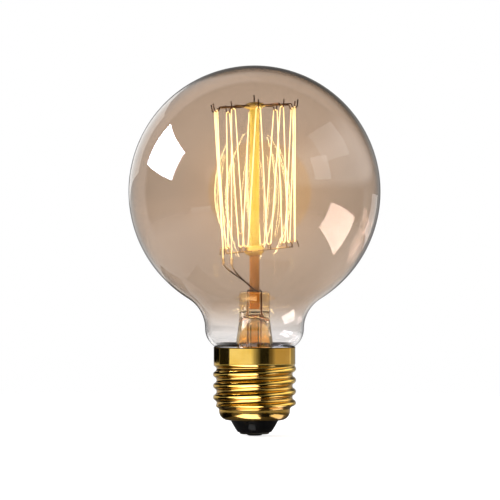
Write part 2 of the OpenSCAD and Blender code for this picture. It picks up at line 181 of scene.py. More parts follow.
def lathe_data(profile, sides):
    """Points and faces of a profile [(r, z)] turned round the axis. An end on the axis is a pole."""
    points, rings, faces = [], [], []
    for r, z in profile:
        if r < ON_AXIS:
            rings.append([len(points)] * sides)
            points.append((0.0, 0.0, z))
            continue
        start = len(points)
        rings.append([start + j for j in range(sides)])
        for j in range(sides):
            t = 2 * math.pi * j / sides
            points.append((r * math.cos(t), r * math.sin(t), z))
    for a, b in zip(rings, rings[1:]):
        for j in range(sides):
            k = (j + 1) % sides
            face = [a[j], a[k], b[k], b[j]]
            face = [v for i, v in enumerate(face) if v not in face[:i]]
            if len(face) > 2:
                faces.append(face)
    return points, faces


def closed_lathe_data(profile, sides):
    """As lathe_data, with the profile's end joined to its start."""
    points, faces = lathe_data(profile, sides)
    last = len(points) - sides
    for j in range(sides):
        k = (j + 1) % sides
        faces.append([last + j, last + k, k, j])
    return points, faces


def loft(rings):
    """Points and faces of a skin over rings of equal length, closed at both ends."""
    n = len(rings[0])
    points = [p for ring in rings for p in ring]
    faces = []
    for i in range(len(rings) - 1):
        for k in range(n):
            m = (k + 1) % n
            faces.append([i * n + k, i * n + m, (i + 1) * n + m, (i + 1) * n + k])
    faces.append(list(reversed(range(n))))
    faces.append([(len(rings) - 1) * n + k for k in range(n)])
    return points, faces


def tube_data(path, radius, sides=10):
    """Points and faces of a round wire along a path."""
    path = [Vector(p) for p in path]
    rings = []
    across = None
    for i, p in enumerate(path):
        way = (path[min(i + 1, len(path) - 1)] - path[max(i - 1, 0)]).normalized()
        if across is None:
            across = way.orthogonal().normalized()
        across = (across - way * across.dot(way)).normalized()
        other = way.cross(across)
        turns = [2 * math.pi * k / sides for k in range(sides)]
        rings.append([tuple(p + radius * (across * math.cos(t) + other * math.sin(t))) for t in turns])
    return loft(rings)


def joined(*parts):
    """Several (points, faces) as one."""
    points, faces = [], []
    for p, f in parts:
        shift = len(points)
        points += p
        faces += [[v + shift for v in face] for face in f]
    return points, faces


def cubic_path(p, steps):
    """Points of a cubic curve with the four control points p."""
    p = [Vector(q) for q in p]
    found = []
    for i in range(steps + 1):
        t = i / steps
        found.append((1 - t) ** 3 * p[0] + 3 * t * (1 - t) ** 2 * p[1]
                     + 3 * t * t * (1 - t) * p[2] + t ** 3 * p[3])
    return found


# Material helpers
NOISE_LOW, NOISE_HIGH = 0.3, 0.7
GLASS_IOR = 1.5


def new_material(name):
    material = bpy.data.materials.new(name)
    material.use_nodes = True
    tree = material.node_tree
    return material, tree, tree.nodes["Principled BSDF"]


def add(tree, kind, **values):
    node = tree.nodes.new(kind)
    for key, value in values.items():
        setattr(node, key, value)
    return node


def noise(tree, scale, detail, stretch=(1, 1, 1), roughness=0.5):
    """Noise over the object's own coordinates, scale in features a metre."""
    coord = add(tree, "ShaderNodeTexCoord")
    mapping = add(tree, "ShaderNodeMapping")
    mapping.inputs["Scale"].default_value = stretch
    texture = add(tree, "ShaderNodeTexNoise")
    texture.inputs["Scale"].default_value = scale
    texture.inputs["Detail"].default_value = detail
    texture.inputs["Roughness"].default_value = roughness
    tree.links.new(coord.outputs["Object"], mapping.inputs["Vector"])
    tree.links.new(mapping.outputs["Vector"], texture.inputs["Vector"])
    return texture.outputs["Fac"]


def remap(tree, value, low, high, to_low, to_high):
    """Smooth step from to_low at low to to_high at high."""
    node = add(tree, "ShaderNodeMapRange")
    node.interpolation_type = "SMOOTHSTEP"
    for key, number in (("From Min", low), ("From Max", high), ("To Min", to_low), ("To Max", to_high)):
        node.inputs[key].default_value = number
    tree.links.new(value, node.inputs["Value"])
    return node.outputs["Result"]


def math_node(tree, operation, a, b=None):
    node = add(tree, "ShaderNodeMath", operation=operation)
    for i, value in enumerate((a, b)):
        if value is None:
            continue
        if isinstance(value, (int, float)):
            node.inputs[i].default_value = value
        else:
            tree.links.new(value, node.inputs[i])
    return node.outputs[0]


def ramp(tree, value, stops):
    """Colour ramp with stops (place, (r, g, b))."""
    node = add(tree, "ShaderNodeValToRGB")
    elements = node.color_ramp.elements
    while len(elements) < len(stops):
        elements.new(0.5)
    for element, (place, colour) in zip(elements, stops):
        element.position = place
        element.color = (*colour, 1)
    tree.links.new(value, node.inputs["Fac"])
    return node.outputs["Color"]


def mottle(tree, value, first, second, low=NOISE_LOW, high=NOISE_HIGH):
    """Colour that goes from first to second over the range that most noise has."""
    return ramp(tree, value, [(low, first), (high, second)])


def product(tree, *values):
    result = values[0]
    for value in values[1:]:
        result = math_node(tree, "MULTIPLY", result, value)
    return result


def largest(tree, *values):
    result = values[0]
    for value in values[1:]:
        result = math_node(tree, "MAXIMUM", result, value)
    return result


def mix_colour(tree, share, a, b):
    """Colour a, turned into b by a share from 0 to 1. Each is a socket or a value."""
    node = add(tree, "ShaderNodeMix", data_type="RGBA")
    factor, first, second, result = node.inputs[0], node.inputs[6], node.inputs[7], node.outputs[2]
    for socket, value in ((factor, share), (first, a), (second, b)):
        if isinstance(value, tuple):
            socket.default_value = (*value, 1)
        elif isinstance(value, (int, float)):
            socket.default_value = value
        else:
            tree.links.new(value, socket)
    return result


def height(tree):
    """The object's Z, in metres, and its distance from the axis."""
    coord = add(tree, "ShaderNodeTexCoord")
    split = add(tree, "ShaderNodeSeparateXYZ")
    tree.links.new(coord.outputs["Object"], split.inputs[0])
    x, y, z = split.outputs
    squares = math_node(tree, "ADD", product(tree, x, x), product(tree, y, y))
    return z, math_node(tree, "SQRT", squares)


def bump(tree, shader, value, strength, distance):
    node = add(tree, "ShaderNodeBump")
    node.inputs["Strength"].default_value = strength
    node.inputs["Distance"].default_value = distance
    tree.links.new(value, node.inputs["Height"])
    tree.links.new(node.outputs["Normal"], shader.inputs["Normal"])


# Materials, with heights in millimetres
FILAMENT_GLOW = 2.7
GHOST_GLOW = 10.0
NECK_CLEAR_Z = 30.0
GLOBE_SMOKED_Z = 44.5


def envelope_material():
    """Smoke-amber glass, nearly clear in the neck, slightly wavy."""
    material, tree, shader = new_material("envelope_glass")
    z, _ = height(tree)
    share = remap(tree, z, NECK_CLEAR_Z * MM, GLOBE_SMOKED_Z * MM, 0, 1)
    smoke = mottle(tree, noise(tree, 30, 2), (0.722, 0.614, 0.520), (0.708, 0.600, 0.510), 0.35, 0.65)
    colour = mix_colour(tree, share, (0.93, 0.91, 0.90), smoke)
    tree.links.new(colour, shader.inputs["Base Color"])
    shader.inputs["Transmission Weight"].default_value = 1
    shader.inputs["IOR"].default_value = GLASS_IOR
    shader.inputs["Roughness"].default_value = 0.0
    bump(tree, shader, noise(tree, 60, 1), 0.02, 0.001)
    return material


def clear_glass(name, colour, clearness=1.0, ior=GLASS_IOR, low=None):
    """Clear or tinted glass, with a second colour low down if low = (height, height, colour)."""
    material, tree, shader = new_material(name)
    tint = mottle(tree, noise(tree, 300, 2), colour, tuple(c * 0.94 for c in colour))
    if low:
        z, _ = height(tree)
        tint = mix_colour(tree, remap(tree, z, low[0] * MM, low[1] * MM, 1, 0), tint, low[2])
    tree.links.new(tint, shader.inputs["Base Color"])
    shader.inputs["Transmission Weight"].default_value = clearness
    shader.inputs["IOR"].default_value = ior
    shader.inputs["Roughness"].default_value = 0.0
    bump(tree, shader, noise(tree, 400, 2), 0.15, 0.0004)
    return material


def metal(name, colours, roughness, scale=900, grain=0.1, high=None):
    """Drawn or plated metal of two colours, and a third high up if high = (height, height, colour)."""
    material, tree, shader = new_material(name)
    value = noise(tree, scale, 4)
    colour = mottle(tree, value, *colours)
    if high:
        z, _ = height(tree)
        colour = mix_colour(tree, remap(tree, z, high[0] * MM, high[1] * MM, 0, 1), colour, high[2])
    tree.links.new(colour, shader.inputs["Base Color"])
    tree.links.new(remap(tree, value, NOISE_LOW, NOISE_HIGH, *roughness), shader.inputs["Roughness"])
    shader.inputs["Metallic"].default_value = 1
    bump(tree, shader, value, grain, 0.0002)
    return material


def brass_material():
    """Polished rolled brass with faint lines. Painted shade darkens the thread's roots, which are also
    rougher, and the top of the rim, which is also rough.
    """
    material, tree, shader = new_material("cap_brass")
    z, distance = height(tree)
    # Mask of the thread's roots: it makes them rougher and darkens them with painted shade
    root = remap(tree, distance, ROOT_R * MM, (CREST_R - 0.15) * MM, 1, 0)
    root = product(tree, root, remap(tree, z, (THREAD_TOP - 0.4) * MM, (THREAD_TOP + 0.3) * MM, 1, 0))
    cloud = noise(tree, 160, 4)
    lines = noise(tree, 700, 3, (1, 1, 0.06))
    polished = mottle(tree, cloud, (0.95, 0.64, 0.16), (0.86, 0.53, 0.09))
    painted_root_shade = (0.42, 0.19, 0.05)
    colour = mix_colour(tree, product(tree, root, 0.35), polished, painted_root_shade)
    # Painted shade: the top of the rim, where the cap meets the glass, is painted near-black and made
    # rough
    edge = remap(tree, z, (CAP_H - SHELL_T - 0.05) * MM, (CAP_H - SHELL_T + 0.05) * MM, 0, 1)
    painted_rim_shade = (0.05, 0.026, 0.012)
    colour = mix_colour(tree, edge, colour, painted_rim_shade)
    tree.links.new(colour, shader.inputs["Base Color"])
    shader.inputs["Metallic"].default_value = 1
    rough = remap(tree, lines, NOISE_LOW, NOISE_HIGH, 0.07, 0.13)
    rough = math_node(tree, "ADD", rough, product(tree, root, 0.10))
    tree.links.new(largest(tree, rough, product(tree, edge, 0.9)), shader.inputs["Roughness"])
    bump(tree, shader, lines, 0.06, 0.0002)
    return material


def insulator_material():
    """Black moulded glass, glossy with a slight orange-peel."""
    material, tree, shader = new_material("insulator")
    value = noise(tree, 500, 4)
    colour = mottle(tree, value, (0.004, 0.004, 0.005), (0.009, 0.008, 0.009), 0.35)
    tree.links.new(colour, shader.inputs["Base Color"])
    tree.links.new(remap(tree, value, NOISE_LOW, NOISE_HIGH, 0.10, 0.22), shader.inputs["Roughness"])
    bump(tree, shader, noise(tree, 900, 3), 0.12, 0.0003)
    return material


def cement_material():
    """Dark, rough, crumbly cement."""
    material, tree, shader = new_material("cement")
    value = noise(tree, 1500, 6, roughness=0.7)
    colour = mottle(tree, value, (0.010, 0.006, 0.005), (0.026, 0.017, 0.013))
    tree.links.new(colour, shader.inputs["Base Color"])
    shader.inputs["Roughness"].default_value = 0.9
    bump(tree, shader, value, 0.6, 0.0004)
    return material


def filament_material():
    """Glowing strand, a little dimmer at its supports, and much brighter as reflected in glass."""
    material, tree, shader = new_material("filament")
    z, _ = height(tree)
    reach = (UPPER_Z - LOWER_Z) / 2 * MM
    off = math_node(tree, "ABSOLUTE", math_node(tree, "SUBTRACT", z, CAGE_MIDDLE * MM))
    off = math_node(tree, "DIVIDE", off, reach)
    grain = noise(tree, 2500, 2)
    colour = ramp(tree, off, [(0.0, (1.0, 0.95, 0.55)), (0.8, (1.0, 0.94, 0.52)),
                              (1.0, (1.0, 0.84, 0.40))])
    tree.links.new(colour, shader.inputs["Emission Color"])
    strength = product(tree, remap(tree, off, 0.7, 1.0, FILAMENT_GLOW, FILAMENT_GLOW * 0.7),
                       remap(tree, grain, 0.2, 0.8, 0.85, 1.15))
    path = add(tree, "ShaderNodeLightPath")
    reflected = math_node(tree, "MINIMUM", path.outputs["Glossy Depth"], 1)
    ghost = math_node(tree, "ADD", product(tree, reflected, GHOST_GLOW), 1)
    tree.links.new(product(tree, strength, ghost), shader.inputs["Emission Strength"])
    unlit = mottle(tree, grain, (0.9, 0.62, 0.3), (1.0, 0.75, 0.4))
    tree.links.new(unlit, shader.inputs["Base Color"])
    shader.inputs["Roughness"].default_value = 0.7
    return material


GLASS = envelope_material()
# Painted glow: the stem's warm tint, turning deeper orange low down, stands in for the filament's light
# and for the lit brass inside the cap
STEM_GLASS = clear_glass("stem_glass", (1.0, 0.84, 0.58), 0.97, low=(29.0, 36.0, (1.0, 0.66, 0.26)))
TUBE_GLASS = clear_glass("tube_glass", (1.0, 0.90, 0.74))
# Painted light: the rod's amber tint stands in for the strands' warm light, and its orange lower end by
# the lower bead is painted shade where less of that light reaches
ROD_GLASS = clear_glass("rod_glass", (1.0, 0.82, 0.22), 0.55, low=(57.0, 60.5, (0.98, 0.54, 0.20)))
# Painted glow: the rod's root in the press is tinted orange, nearly without refraction, for the
# filament's light in the press core
ROOT_GLASS = clear_glass("rod_root_glass", (0.96, 0.44, 0.07), 1.0, 1.02)
# Painted light: the beads' amber tint stands in for the strands' warm light
BUTTON_GLASS = clear_glass("button_glass", (1.0, 0.72, 0.24), 0.45)
HOOK_WIRE = metal("hook_wire", [(0.34, 0.20, 0.10), (0.52, 0.35, 0.20)], (0.35, 0.55),
                  high=(70.0, 90.0, (0.12, 0.06, 0.035)))
# Painted light: the leads turn light gold at the top, towards the crimps, for the strands' light on them
LEAD_WIRE = metal("lead_wire", [(0.10, 0.05, 0.03), (0.22, 0.13, 0.08)], (0.3, 0.5),
                  high=(51.0, 54.4, (0.86, 0.66, 0.42)))
# Painted light and shade: the seal wire comes as a lit copy for the left lead and a shaded copy for the
# right
SEAL_WIRE = metal("seal_wire", [(0.30, 0.10, 0.05), (0.50, 0.20, 0.10)], (0.3, 0.45))
PAINTED_LIT_SEAL_WIRE = metal("seal_wire_painted_lit", [(0.90, 0.58, 0.34), (0.98, 0.72, 0.48)], (0.3, 0.45))
CAP_LEAD = metal("cap_lead", [(0.65, 0.35, 0.22), (0.80, 0.48, 0.32)], (0.25, 0.4))
SOLDER = metal("solder", [(0.50, 0.50, 0.50), (0.68, 0.68, 0.70)], (0.25, 0.5), 600, grain=0.4)
CONTACT = metal("contact", [(0.34, 0.31, 0.26), (0.48, 0.44, 0.38)], (0.35, 0.55), 500)
BRASS = brass_material()
INSULATOR = insulator_material()
CEMENT = cement_material()
FILAMENT = filament_material()


# Envelope and stem

def skin(d):
    """Outline of the envelope from crown to seal, moved inwards by d."""
    fillet = math.degrees(math.acos((NECK_R + FILLET_R) / (CAD_GLOBE_R + FILLET_R)))
    shoulder = math.degrees(math.acos(SHOULDER_IN / SHOULDER_R))
    return (arc(0, GLOBE_Z, GLOBE_R - d, 90, -fillet, 110)
            + arc(NECK_R + FILLET_R, SHOULDER_Z, FILLET_R + d, 180 - fillet, 180, 20)[1:]
            + arc(NECK_R - SHOULDER_R, SHOULDER_Z, SHOULDER_R - d, 0, -shoulder, 20)[1:]
            + [(SEAL_BEND_R - d, SEAL_BEND_Z), (SEAL_R - d, SEAL_Z)])


envelope = lathe_data(skin(0) + list(reversed(skin(GLASS_T))), 192)
mesh_piece("envelope", *envelope, GLASS, "envelope_glass", ["glass_envelope"])


def stadium(w, t, z):
    """Points of a ring with half width w and half thickness t: round where they are equal."""
    ring = []
    for i in range(STEM_SIDES):
        a = 2 * math.pi * i / STEM_SIDES
        c, s = math.cos(a), math.sin(a)
        ring.append(((w - t) * (1 if c > 0 else -1) * smooth(abs(c) * 3) + t * c, t * s, z))
    return ring


def flare_profile():
    """Centreline of the flared tube, from its rim to the press."""
    curve = cubic_path([(SEAL_R - STEM_T / 2, 0, SEAL_Z - 0.5), (SEAL_R * 0.62, 0, SEAL_Z - 0.5),
                        (STEM_RIM_R, 0, SEAL_Z + 2.5), (STEM_RIM_R - STEM_T / 2, 0, CAP_H)], 24)
    return [(p.x, p.z) for p in curve] + [
        (lerp(STEM_RIM_R, STEM_R, t / 4) - STEM_T / 2, lerp(CAP_H, PRESS_Z, t / 4)) for t in range(1, 5)]


def stem():
    """The flared tube with its wall, closed by the press, and the bore that ends at the exhaust tube."""
    line = flare_profile()
    outer, inner = [], []
    for i, (r, z) in enumerate(line):
        a, b = line[max(i - 1, 0)], line[min(i + 1, len(line) - 1)]
        d = Vector((b[0] - a[0], b[1] - a[1])).normalized()
        outer.append((r + d.y * STEM_T / 2, z - d.x * STEM_T / 2))
        inner.append((r - d.y * STEM_T / 2, z + d.x * STEM_T / 2))
    bore_end = EXHAUST_R + 0.4
    rings = [stadium(bore_end, bore_end, PRESS_Z + 1.4)]
    rings += [stadium(r, r, z) for r, z in reversed(inner)]
    rings += [stadium(r, r, z) for r, z in outer]
    half_w, half_t, shoulder = PRESS_W / 2, PRESS_T / 2, PRESS_Z + PRESS_SHOULDER
    for t in (0.15, 0.3, 0.45, 0.6, 0.75, 0.9, 1.0):
        s = smooth(t)
        rings.append(stadium(lerp(STEM_R, half_w, s), lerp(STEM_R, half_t + PRESS_SWELL, s),
                             lerp(PRESS_Z, shoulder, t)))
    for t in (0.25, 0.5, 0.75, 1.0):
        rings.append(stadium(half_w, lerp(half_t + PRESS_SWELL, half_t, t),
                             lerp(shoulder, PRESS_TOP - PRESS_EDGE_H, t)))
    for t in (0.3, 0.6, 0.85, 1.0):
        drop = PRESS_EDGE_R * (1 - math.sqrt(1 - t * t))
        rings.append(stadium(half_w - drop, half_t - drop, PRESS_TOP - PRESS_EDGE_H + PRESS_EDGE_H * t))
    return loft(rings)


mesh_piece("stem", *stem(), STEM_GLASS, "stem_glass", ["stem_flare"])


def exhaust():
    """Thin tube, rounded off at its tip and open at the press. Short rings keep its shading straight."""
    bore, tip = EXHAUST_R - EXHAUST_T, EXHAUST_TIP + EXHAUST_R
    edge, short = 0.05, 0.2
    outside = arc(0, tip, EXHAUST_R, -80, 0, 10) + [
        (EXHAUST_R, tip + short), (EXHAUST_R, PRESS_Z - short), (EXHAUST_R, PRESS_Z - edge),
        (EXHAUST_R - edge, PRESS_Z)]
    inside = [(bore + edge, PRESS_Z), (bore, PRESS_Z - edge), (bore, PRESS_Z - short),
              (bore, tip + EXHAUST_T + short)] + arc(0, tip + EXHAUST_T, bore, 0, -80, 10)
    return lathe_data([(0.0, EXHAUST_TIP)] + outside + inside + [(0.0, EXHAUST_TIP + 2 * EXHAUST_T)], 40)


mesh_piece("exhaust", *exhaust(), TUBE_GLASS, "stem_glass", ["exhaust_tube"])


def rod_part(low, high, steps):
    """A length of the rod, with a short ring at each end that keeps its shading straight."""
    short = 0.1
    line = [(ROD_R, lerp(low + short, high - short, i / steps)) for i in range(steps + 1)]
    return lathe_data([(0.0, low), (ROD_R, low)] + line + [(ROD_R, high), (0.0, high)], 48)


mesh_piece("rod", *rod_part(PRESS_TOP + ROD_GAP, UPPER_Z, 24), ROD_GLASS, "rod_glass", ["arbor_rod"])
mesh_piece("rod_root", *rod_part(PRESS_TOP - ROD_ROOT, PRESS_TOP - ROD_GAP, 6), ROOT_GLASS, "rod_glass",
           ["arbor_rod"])


# Cage

def ring_at(z, lean, out, a, h):
    """A point of a leaning ring: out from the axis, at angle a from the front, h above it."""
    x, tilt = out * math.sin(a), math.radians(lean)
    return Vector((x * math.cos(tilt) - h * math.sin(tilt), -out * math.cos(a),
                   z + x * math.sin(tilt) + h * math.cos(tilt)))


def bead(d, h, z, lean):
    """A flattened glass ball on the rod, leaning with its ring of hooks."""
    turns = [math.radians(a) for a in range(-84, 90, 6)]
    profile = [(d / 2 * math.cos(a), h / 2 * math.sin(a)) for a in turns]
    points, faces = lathe_data([(0.0, -h / 2)] + profile + [(0.0, h / 2)], 48)
    return [tuple(ring_at(z, lean, math.hypot(x, y), math.atan2(x, -y), q)) for x, y, q in points], faces


mesh_piece("bead_upper", *bead(UPPER_BUTTON_D, UPPER_BUTTON_H, UPPER_Z, UPPER_LEAN), BUTTON_GLASS,
           "button_glass", ["upper_button"])
mesh_piece("bead_lower", *bead(LOWER_BUTTON_D, LOWER_BUTTON_H, LOWER_Z, LOWER_LEAN), BUTTON_GLASS,
           "button_glass", ["lower_button"])


def hook_angle(i):
    """Angle of upper hook i from the front, in radians. Lower hooks stand half a step further."""
    return math.radians(FIRST_HOOK + HOOK_STEP * i)


def lower_reach(a):
    """How far a lower hook at angle a reaches from the axis."""
    return LOWER_R + LOWER_SET * math.sin(a)


def hook_line(reach, h, tip):
    """Points (out, up) of a hook: straight out of the rod, down, round the open bend, up to its tip."""
    w = HOOK_W / 2
    return ([(ROD_R + HOOK_ROOT, 0.0), (4.0, 0.0), (7.0, 0.0)]
            + arc(reach - w - HOOK_BEND_R, -HOOK_BEND_R, HOOK_BEND_R, 90, 0, 6)
            + arc(reach, w - h, w, 180, 360, 14) + [(reach + w + HOOK_TIP_OUT, tip)])


def hook(side, n, z, lean, a, line):
    """One hook of the upper or lower ring, from its points (out, up)."""
    path = [ring_at(z, lean, r, a, h) for r, h in line]
    mesh_piece(f"hook_{side}_{n:02d}", *tube_data(path, HOOK_R), HOOK_WIRE, "hook_wire",
               [f"{side}_hook_{n:02d}"])


def hooks():
    """A full ring of upper hooks, and lower hooks half a step on, but for the slot of the leads."""
    line = hook_line(CAGE_R, UPPER_HOOK_H, UPPER_TIP_H)
    for i in range(HOOKS):
        hook("upper", i + 1, UPPER_Z, UPPER_LEAN, hook_angle(i), line)
    hung = [i for i in range(HOOKS) if i != SLOT]
    for n, i in enumerate(hung):
        a = hook_angle(i + 0.5)
        line = [(r, -h) for r, h in hook_line(lower_reach(a), LOWER_HOOK_H, LOWER_TIP_H)]
        hook("lower", n + 1, LOWER_Z, LOWER_LEAN, a, line)


hooks()
top_wire = [ring_at(UPPER_Z, UPPER_LEAN, 0, 0, h) for h in (0.7, 1.3, 2.2, 3.5)]
mesh_piece("wire_top", *tube_data(top_wire, HOOK_R), HOOK_WIRE, "hook_wire", ["top_wire"])


def end_point(side, z):
    """A point over or in the crimp on one side of the slot that has no lower hook."""
    a = math.radians(FIRST_HOOK + HOOK_STEP * (SLOT + 0.5) + side * SLOT_ENDS)
    return Vector((LOWER_R * math.sin(a), -LOWER_R * math.cos(a), z))


def bend(top, a, side):
    """The strand's bend over a hook at angle a, with the given top: side is 1 over it, -1 under it."""
    turns = [math.radians(BEND_TURN * i / 6) for i in range(-6, 7)]
    return [top + BEND_R * Vector((math.cos(a) * math.sin(t), math.sin(a) * math.sin(t),
                                   side * (math.cos(t) - 1))) for t in turns]


def filament_path():
    """The strand from crimp to crimp, by turns over an upper hook and under a lower one."""
    stops = [[end_point(1, ENDS_Z + CRIMP_GRIP)]]
    for i in range(HOOKS):
        k = (SLOT + 1 + i) % HOOKS
        a = hook_angle(k)
        rest = HOOK_R + FILAMENT_R - UPPER_HOOK_H
        stops.append(bend(ring_at(UPPER_Z, UPPER_LEAN, CAGE_R, a, rest), a, 1))
        if i < HOOKS - 1:
            a = hook_angle(k + 0.5)
            rest = LOWER_HOOK_H - HOOK_R - FILAMENT_R
            stops.append(bend(ring_at(LOWER_Z, LOWER_LEAN, lower_reach(a), a, rest), a, -1))
    stops.append([end_point(-1, ENDS_Z + CRIMP_GRIP)])
    path = list(stops[0])
    for before, after in zip(stops, stops[1:]):
        a, b = before[-1], after[0]
        for i in range(1, 10):
            path.append(a.lerp(b, i / 10))
        path += after
    return path


mesh_piece("filament_strand", *tube_data(filament_path(), FILAMENT_R, 8), FILAMENT, "filament",
           ["filament"])

STRAND_HOLE_R = FILAMENT_R + 0.02
CRIMP = [(LEAD_R, 0.0), (0.38, 0.02), (CRIMP_R, 0.2), (CRIMP_R, 0.8), (0.40, 1.0), (CRIMP_R, 1.2),
         (CRIMP_R, 1.85), (0.42, CRIMP_H), (STRAND_HOLE_R, CRIMP_H), (STRAND_HOLE_R, CRIMP_GRIP)]


def lead(name, way, foot, replaced):
    """A lead from the press to the foot of its crimp, by cubic curves that share their ends.

    The way holds their points, with heights above the press.
    """
    way = [(x, y, PRESS_TOP + z) for x, y, z in way] + [foot]
    path = cubic_path(way[:4], CURVE_STEPS)
    for i in range(3, len(way) - 1, 3):
        path += cubic_path(way[i:i + 4], CURVE_STEPS)[1:]
    path.append(foot + Vector((0, 0, 0.3)))
    clamp, faces = closed_lathe_data(CRIMP, 24)
    clamp = [(x + foot.x, y + foot.y, z + foot.z) for x, y, z in clamp]
    mesh_piece(name, *joined(tube_data(path, LEAD_R, 12), (clamp, faces)), LEAD_WIRE, "lead_wire",
               [replaced])


lead("lead_left", [(-LEAD_X, 0, 0), (-LEAD_X, 0, 0.9), (-1.8, -2.6, 0.4), (-0.2, -2.8, 0.45),
                   (2, -3.1, 0.5), (1.7, -4.2, -0.6), (-0.6, -4.6, 1.2),
                   (-3.2, -5.1, 3.5), (-6.6, -8, 6.4)], end_point(1, ENDS_Z), "lead_wire_left")
lead("lead_right", [(LEAD_X, 0, 0), (LEAD_X, 0, 0.9), (1.8, 2.9, 0.1), (0, 3, 0.7),
                    (-2.8, 3.2, 3.6), (-8.6, -2.6, 6.6)], end_point(-1, ENDS_Z), "lead_wire_right")


# Cap

def knuckle(u):
    """Depth of the thread below its crest, u pitches away from a crest."""
    u -= math.floor(u)
    x = min(u, 1 - u) * PITCH
    q = PITCH / 4
    if x <= q:
        return KNUCKLE_R - math.sqrt(KNUCKLE_R ** 2 - x * x)
    return THREAD_DEPTH - KNUCKLE_R + math.sqrt(KNUCKLE_R ** 2 - (2 * q - x) ** 2)


def wall_radius(a, z, inner):
    """Radius of the rolled wall at angle a: the thread, run out into the skirt and the curl."""
    share = smooth((THREAD_TOP - z) / THREAD_FADE) * smooth((z - THREAD_BOTTOM) / THREAD_FADE)
    plain = SKIRT_R if z > (THREAD_TOP + THREAD_BOTTOM) / 2 else CURL_X + CURL_R
    thread = CREST_R - knuckle((z - FIRST_CREST) / PITCH - a / (2 * math.pi))
    return lerp(plain, thread, share) - (SHELL_T if inner else 0)


def shell():
    """The rolled shell: rim, skirt, thread and curled foot outside, and the same inside."""
    sides, rows = 180, 150
    skirt_top, skirt_foot = CAP_H - 1.0, THREAD_TOP + 0.6
    rim = arc(SKIRT_R - SHELL_T / 2, CAP_H - SHELL_T / 2, SHELL_T / 2, 180, 0, 8)
    curl_out = arc(CURL_X, CURL_TOP, CURL_R, 0, -90, 18)
    lip = arc(CURL_OPENING_R + SHELL_T / 2, CURL_Z + SHELL_T / 2, SHELL_T / 2, 270, 90, 8)
    curl_in = arc(CURL_X, CURL_TOP, CURL_R - SHELL_T, -90, 0, 18)
    rings = []
    for j in range(sides):
        a = 2 * math.pi * j / sides
        line = rim + [(SKIRT_R, CAP_H - SHELL_T), (SKIRT_R, skirt_top), (SKIRT_R, skirt_foot)]
        heights = [lerp(THREAD_TOP, THREAD_BOTTOM, i / rows) for i in range(rows + 1)]
        line += [(wall_radius(a, z, False), z) for z in heights]
        line += curl_out + lip + curl_in
        line += [(wall_radius(a, z, True), z) for z in reversed(heights)]
        line += [(SKIRT_R - SHELL_T, skirt_foot), (SKIRT_R - SHELL_T, skirt_top)]
        rings.append([(r * math.cos(a), r * math.sin(a), z) for r, z in line])
    n = len(rings[0])
    points = [p for ring in rings for p in ring]
    faces = [[j * n + k, j * n + (k + 1) % n, (j + 1) % sides * n + (k + 1) % n, (j + 1) % sides * n + k]
             for j in range(sides) for k in range(n)]
    return points, faces


mesh_piece("shell", *shell(), BRASS, "cap_brass", ["cap_shell"])

# The insulator's flank, as shares of the way from its foot to the curl, outwards and upwards
FOOT_SLOPE = ((0.80, 0.80), (0.64, 0.60), (0.50, 0.45), (0.36, 0.30), (0.21, 0.15), (0.10, 0.05))
insulator = ([(1.0, PLATE_TOP), (1.0, CURL_TOP)] + arc(CURL_X, CURL_TOP, CURL_R - SHELL_T, 0, -90, 18)
             + [(CURL_OPENING_R + 0.05, CURL_Z + SHELL_T), (CURL_OPENING_R - 0.02, CURL_Z),
                (CURL_OPENING_R - 0.25, CURL_Z - 0.3)]
             + [(lerp(FOOT_R, CURL_OPENING_R, s), lerp(PLATE_TOP, CURL_Z, t)) for s, t in FOOT_SLOPE]
             + [(FOOT_R, PLATE_TOP)])
mesh_piece("insulator", *closed_lathe_data(insulator, 96), INSULATOR, "insulator", ["cap_insulator"])

plate = [(LEAD_R, SOLDER_H), (PLATE_R - PLATE_T, SOLDER_H), (PLATE_R - PLATE_T * 0.5, SOLDER_H + 0.08),
         (PLATE_R - PLATE_T * 0.25, SOLDER_H + PLATE_T * 0.4), (PLATE_R, PLATE_TOP), (LEAD_R, PLATE_TOP)]
mesh_piece("contact", *closed_lathe_data(plate, 64), CONTACT, "contact", ["contact_plate"])

blob = [(0.0, 0.0), (0.8, 0.0), (TIP_R, 0.01), (lerp(TIP_R, SOLDER_R, 0.4), 0.09),
        (lerp(TIP_R, SOLDER_R, 0.7), 0.22), (lerp(TIP_R, SOLDER_R, 0.92), 0.38), (SOLDER_R, SOLDER_H),
        (0.0, SOLDER_H)]
mesh_piece("solder_tip", *lathe_data(blob, 48), SOLDER, "solder", ["centre_solder"])

# The CAD's own meshes of these nodes only get their material
# The left seal wire gets the painted lit copy of its metal, the right one the painted shaded copy
for name, material in (("lead_seal_left", PAINTED_LIT_SEAL_WIRE), ("lead_seal_right", SEAL_WIRE),
                       ("cap_lead_side", CAP_LEAD), ("cap_lead_centre", CAP_LEAD),
                       ("basing_cement", CEMENT), ("side_solder", SOLDER)):
    mesh = nodes[name].data
    mesh.materials.clear()
    mesh.materials.append(material)


# Stage, light and camera
AMBIENT = 0.5
DARKNESS = 0.012
FLOOR_GLOW = 0.72
FLOOR_FADE = (0.10, 0.36)


